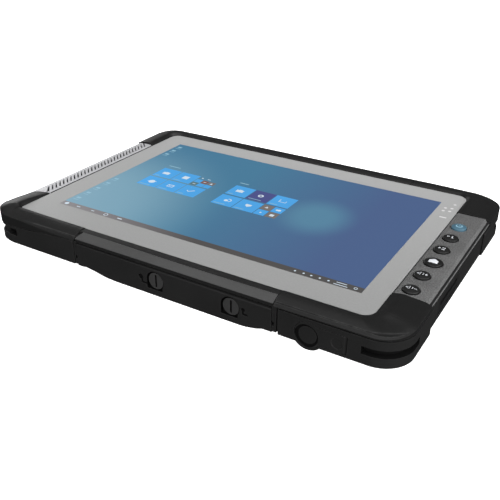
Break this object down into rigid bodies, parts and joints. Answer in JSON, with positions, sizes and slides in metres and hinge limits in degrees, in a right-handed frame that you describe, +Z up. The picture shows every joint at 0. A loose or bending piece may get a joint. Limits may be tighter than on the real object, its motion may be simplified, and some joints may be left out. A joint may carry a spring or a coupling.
{
  "type": "rugged field data collector",
  "caption": "Rugged tablet-style data collector with a grey-bordered touch display, side key column, rubber bumpers and a slide-out battery.",
  "frame": {"origin": "centre of the footprint, on the plane the tablet lies on (its battery bulge and two rear feet)", "axes": "+X to the right along the long side as the user reads the display, +Y from the battery side to the back, +Z up out of the display"},
  "size_m": [0.285, 0.194, 0.0265],
  "materials": {
    "case_black": "fine matt texture, almost black moulded plastic",
    "rubber_black": "smooth soft-touch black rubber with a dull sheen",
    "trim_grey": "dark grey moulded plastic, fine grain",
    "glass_border": "hard-coated touch glass with a light grey printed border",
    "display_panel": null,
    "chassis_metal": "cast light-metal chassis plate, blasted",
    "seal_rubber": "black seal rubber",
    "silver_grille": "satin silver paint",
    "panel_grey": "mid grey plastic with a fine pebbled grain",
    "key_rubber": null,
    "power_key": "domed key, lit blue-grey",
    "circuit_board": "green solder mask",
    "component_black": "black moulded components",
    "copper": "bare copper sheet",
    "contact_gold": "gold-plated contacts",
    "steel": "zinc-plated steel",
    "connector_metal": "nickel-plated shells",
    "battery_case": "black battery case",
    "red_seal": "red-brown silicone seal",
    "lens_glass": "coated camera window",
    "light_guide": "clear moulded light guide"
  },
  "bodies": {
    "tablet": {"rear_case": "case_black", "front_case": "case_black", "touch_glass": "glass_border", "display_gasket": "seal_rubber", "lcd_panel": "display_panel", "mid_frame": "chassis_metal", "bumper_front_left": "rubber_black", "bumper_front_right": "rubber_black", "bumper_back_left": "rubber_black", "bumper_back_right": "rubber_black", "back_rail": "rubber_black", "front_trim": "trim_grey", "block_front_left": "rubber_black", "block_front_right": "rubber_black", "block_back_left": "rubber_black", "block_back_right": "rubber_black", "speaker_grille": "silver_grille", "speaker_front": "component_black", "speaker_back": "component_black", "key_panel": "panel_grey", "key_board": "circuit_board", "main_board": "circuit_board", "heat_spreader": "copper", "storage_module": "circuit_board", "battery_connector": "contact_gold", "port_cover_pin": "steel", "power_jack": "component_black", "audio_jack": "component_black", "side_cover_pin": "steel", "side_connectors": "connector_metal", "rear_camera": "component_black", "camera_window": "lens_glass", "dock_connector": "contact_gold", "foot_back_left": "rubber_black", "foot_back_right": "rubber_black", "service_hatch": "case_black", "hatch_screws": "steel", "case_screws": "steel", "light_guide": "light_guide", "front_camera": "component_black", "antenna_strip": "contact_gold"},
    "battery": {"battery_pack": "battery_case", "battery_door": "case_black", "battery_seal": "red_seal"},
    "latch_left": {"latch_knob_left": "case_black", "latch_cam_left": "steel"},
    "latch_right": {"latch_knob_right": "case_black", "latch_cam_right": "steel"},
    "front_port_cover": {"port_cover": "rubber_black"},
    "side_port_cover": {"side_cover": "rubber_black"},
    "power_key": {"key_power": "power_key"},
    "user_one_key": {"key_user_one": "key_rubber"},
    "user_two_key": {"key_user_two": "key_rubber"},
    "home_key": {"key_home": "key_rubber"},
    "volume_up_key": {"key_volume_up": "key_rubber"},
    "volume_down_key": {"key_volume_down": "key_rubber"}
  },
  "joints": [
    {"name": "battery_slide", "type": "slide", "parent": "tablet", "child": "battery", "axis": [0, -1, 0], "range_m": [0, 0.092]},
    {"name": "latch_left_turn", "type": "hinge", "parent": "battery", "child": "latch_left", "pos_m": [-0.00675, -0.094, 0.0105], "axis": [0, 1, 0], "range_deg": [0, 90]},
    {"name": "latch_right_turn", "type": "hinge", "parent": "battery", "child": "latch_right", "pos_m": [0.04445, -0.094, 0.0105], "axis": [0, -1, 0], "range_deg": [0, 90]},
    {"name": "port_cover_hinge", "type": "hinge", "parent": "tablet", "child": "front_port_cover", "pos_m": [0.1114, -0.0953, 0.0103], "axis": [0, 0, 1], "range_deg": [0, 90]},
    {"name": "side_cover_hinge", "type": "hinge", "parent": "tablet", "child": "side_port_cover", "pos_m": [0.1398, -0.0225, 0.0085], "axis": [0, 1, 0], "range_deg": [0, 90]},
    {"name": "power_press", "type": "slide", "parent": "tablet", "child": "power_key", "axis": [0, 0, -1], "range_m": [0, 0.0006], "stiffness_N_per_m": 1500, "springref_m": -0.0003},
    {"name": "user_one_press", "type": "slide", "parent": "tablet", "child": "user_one_key", "axis": [0, 0, -1], "range_m": [0, 0.0006], "stiffness_N_per_m": 1500, "springref_m": -0.0003},
    {"name": "user_two_press", "type": "slide", "parent": "tablet", "child": "user_two_key", "axis": [0, 0, -1], "range_m": [0, 0.0006], "stiffness_N_per_m": 1500, "springref_m": -0.0003},
    {"name": "home_press", "type": "slide", "parent": "tablet", "child": "home_key", "axis": [0, 0, -1], "range_m": [0, 0.0006], "stiffness_N_per_m": 1500, "springref_m": -0.0003},
    {"name": "volume_up_press", "type": "slide", "parent": "tablet", "child": "volume_up_key", "axis": [0, 0, -1], "range_m": [0, 0.0006], "stiffness_N_per_m": 1500, "springref_m": -0.0003},
    {"name": "volume_down_press", "type": "slide", "parent": "tablet", "child": "volume_down_key", "axis": [0, 0, -1], "range_m": [0, 0.0006], "stiffness_N_per_m": 1500, "springref_m": -0.0003}
  ]
}
